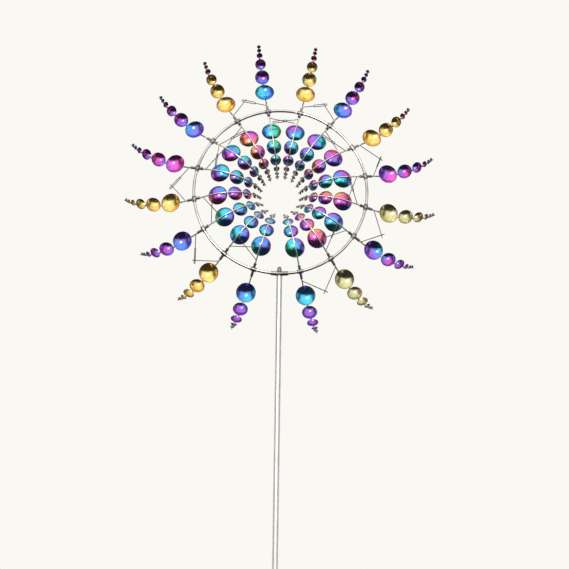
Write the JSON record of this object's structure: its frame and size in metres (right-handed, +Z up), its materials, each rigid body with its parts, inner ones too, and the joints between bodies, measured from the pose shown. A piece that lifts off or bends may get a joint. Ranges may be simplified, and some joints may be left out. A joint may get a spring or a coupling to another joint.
{
  "type": "kinetic wind spinner",
  "caption": "Kinetic garden wind spinner: S-shaped arms of coloured wind bowls turn on a steel hoop that swivels on a polished steel pole with a ground spike.",
  "frame": {"origin": "on the pole's axis at ground level, where the spike leaves the ground", "axes": "+Z up the pole; the hoop lies in the XZ plane and faces -Y, with +X to the right seen from its front"},
  "size_m": [0.6154, 0.0686, 1.6967],
  "materials": {
    "pole": "polished steel tube",
    "spike": "plain bright steel",
    "bush": "turned",
    "fasteners": "bright zinc",
    "hoop": "polished",
    "hubs": "polished",
    "arms": "polished",
    "bowls_gold": "metallic lacquer, gold in the hollow and rainbow on the back",
    "bowls_blue": "metallic lacquer, blue to violet in the hollow and rainbow on the back"
  },
  "bodies": {
    "stake": {"ground_spike": "spike", "pole_lower": "pole", "pole_joint": "pole", "pole_upper": "pole", "top_bush": "bush"},
    "head": {"swivel_bolt": "fasteners", "thrust_washer": "fasteners", "hoop_sleeve": "hoop", "cap_nut": "fasteners", "hoop_ring": "hoop", "stop_collars": "hubs"},
    "arm_01": {"arm_01_hub": "hubs", "arm_01_rods": "arms", "arm_01_bowls": "bowls_blue"},
    "arm_02": {"arm_02_hub": "hubs", "arm_02_rods": "arms", "arm_02_bowls": "bowls_gold"},
    "arm_03": {"arm_03_hub": "hubs", "arm_03_rods": "arms", "arm_03_bowls": "bowls_blue"},
    "arm_04": {"arm_04_hub": "hubs", "arm_04_rods": "arms", "arm_04_bowls": "bowls_gold"},
    "arm_05": {"arm_05_hub": "hubs", "arm_05_rods": "arms", "arm_05_bowls": "bowls_blue"},
    "arm_06": {"arm_06_hub": "hubs", "arm_06_rods": "arms", "arm_06_bowls": "bowls_gold"},
    "arm_07": {"arm_07_hub": "hubs", "arm_07_rods": "arms", "arm_07_bowls": "bowls_blue"},
    "arm_08": {"arm_08_hub": "hubs", "arm_08_rods": "arms", "arm_08_bowls": "bowls_gold"},
    "arm_09": {"arm_09_hub": "hubs", "arm_09_rods": "arms", "arm_09_bowls": "bowls_blue"},
    "arm_10": {"arm_10_hub": "hubs", "arm_10_rods": "arms", "arm_10_bowls": "bowls_blue"},
    "arm_11": {"arm_11_hub": "hubs", "arm_11_rods": "arms", "arm_11_bowls": "bowls_gold"},
    "arm_12": {"arm_12_hub": "hubs", "arm_12_rods": "arms", "arm_12_bowls": "bowls_blue"},
    "arm_13": {"arm_13_hub": "hubs", "arm_13_rods": "arms", "arm_13_bowls": "bowls_gold"},
    "arm_14": {"arm_14_hub": "hubs", "arm_14_rods": "arms", "arm_14_bowls": "bowls_blue"},
    "arm_15": {"arm_15_hub": "hubs", "arm_15_rods": "arms", "arm_15_bowls": "bowls_blue"},
    "arm_16": {"arm_16_hub": "hubs", "arm_16_rods": "arms", "arm_16_bowls": "bowls_gold"}
  },
  "joints": [
    {"name": "head_swivel", "type": "hinge", "parent": "stake", "child": "head", "pos_m": [0, 0, 1], "axis": [0, 0, 1], "continuous": true},
    {"name": "arm_01_turn", "type": "hinge", "parent": "head", "child": "arm_01", "pos_m": [-0.02805, 0, 1.36092], "axis": [-0.9869, 0, -0.1612], "continuous": true},
    {"name": "arm_02_turn", "type": "hinge", "parent": "head", "child": "arm_02", "pos_m": [0.03818, 0, 1.35896], "axis": [-0.9756, 0, 0.2194], "continuous": true},
    {"name": "arm_03_turn", "type": "hinge", "parent": "head", "child": "arm_03", "pos_m": [0.09887, 0, 1.33238], "axis": [-0.8229, 0, 0.5682], "continuous": true},
    {"name": "arm_04_turn", "type": "hinge", "parent": "head", "child": "arm_04", "pos_m": [0.14523, 0, 1.28504], "axis": [-0.5508, 0, 0.8346], "continuous": true},
    {"name": "arm_05_turn", "type": "hinge", "parent": "head", "child": "arm_05", "pos_m": [0.17052, 0, 1.2238], "axis": [-0.1989, 0, 0.98], "continuous": true},
    {"name": "arm_06_turn", "type": "hinge", "parent": "head", "child": "arm_06", "pos_m": [0.1711, 0, 1.15755], "axis": [0.1819, 0, 0.9833], "continuous": true},
    {"name": "arm_07_turn", "type": "hinge", "parent": "head", "child": "arm_07", "pos_m": [0.14686, 0, 1.09588], "axis": [0.5363, 0, 0.844], "continuous": true},
    {"name": "arm_08_turn", "type": "hinge", "parent": "head", "child": "arm_08", "pos_m": [0.10133, 0, 1.04775], "axis": [0.8129, 0, 0.5824], "continuous": true},
    {"name": "arm_09_turn", "type": "hinge", "parent": "head", "child": "arm_09", "pos_m": [0.04111, 0, 1.02013], "axis": [0.9717, 0, 0.2363], "continuous": true},
    {"name": "arm_10_turn", "type": "hinge", "parent": "head", "child": "arm_10", "pos_m": [-0.05106, 0, 1.02286], "axis": [0.956, 0, -0.2935], "continuous": true},
    {"name": "arm_11_turn", "type": "hinge", "parent": "head", "child": "arm_11", "pos_m": [-0.10954, 0, 1.05401], "axis": [0.777, 0, -0.6296], "continuous": true},
    {"name": "arm_12_turn", "type": "hinge", "parent": "head", "child": "arm_12", "pos_m": [-0.15214, 0, 1.10476], "axis": [0.4853, 0, -0.8744], "continuous": true},
    {"name": "arm_13_turn", "type": "hinge", "parent": "head", "child": "arm_13", "pos_m": [-0.17267, 0, 1.16775], "axis": [0.1233, 0, -0.9924], "continuous": true},
    {"name": "arm_14_turn", "type": "hinge", "parent": "head", "child": "arm_14", "pos_m": [-0.16817, 0, 1.23386], "axis": [-0.2566, 0, -0.9665], "continuous": true},
    {"name": "arm_15_turn", "type": "hinge", "parent": "head", "child": "arm_15", "pos_m": [-0.13929, 0, 1.29348], "axis": [-0.5993, 0, -0.8005], "continuous": true},
    {"name": "arm_16_turn", "type": "hinge", "parent": "head", "child": "arm_16", "pos_m": [-0.09021, 0, 1.33799], "axis": [-0.8551, 0, -0.5184], "continuous": true}
  ],
  "couplings": [
    {"joint": "arm_02_turn", "follows": "arm_01_turn", "ratio": 1},
    {"joint": "arm_03_turn", "follows": "arm_01_turn", "ratio": 1},
    {"joint": "arm_04_turn", "follows": "arm_01_turn", "ratio": 1},
    {"joint": "arm_05_turn", "follows": "arm_01_turn", "ratio": 1},
    {"joint": "arm_06_turn", "follows": "arm_01_turn", "ratio": 1},
    {"joint": "arm_07_turn", "follows": "arm_01_turn", "ratio": 1},
    {"joint": "arm_08_turn", "follows": "arm_01_turn", "ratio": 1},
    {"joint": "arm_09_turn", "follows": "arm_01_turn", "ratio": 1},
    {"joint": "arm_10_turn", "follows": "arm_01_turn", "ratio": 1},
    {"joint": "arm_11_turn", "follows": "arm_01_turn", "ratio": 1},
    {"joint": "arm_12_turn", "follows": "arm_01_turn", "ratio": 1},
    {"joint": "arm_13_turn", "follows": "arm_01_turn", "ratio": 1},
    {"joint": "arm_14_turn", "follows": "arm_01_turn", "ratio": 1},
    {"joint": "arm_15_turn", "follows": "arm_01_turn", "ratio": 1},
    {"joint": "arm_16_turn", "follows": "arm_01_turn", "ratio": 1}
  ]
}
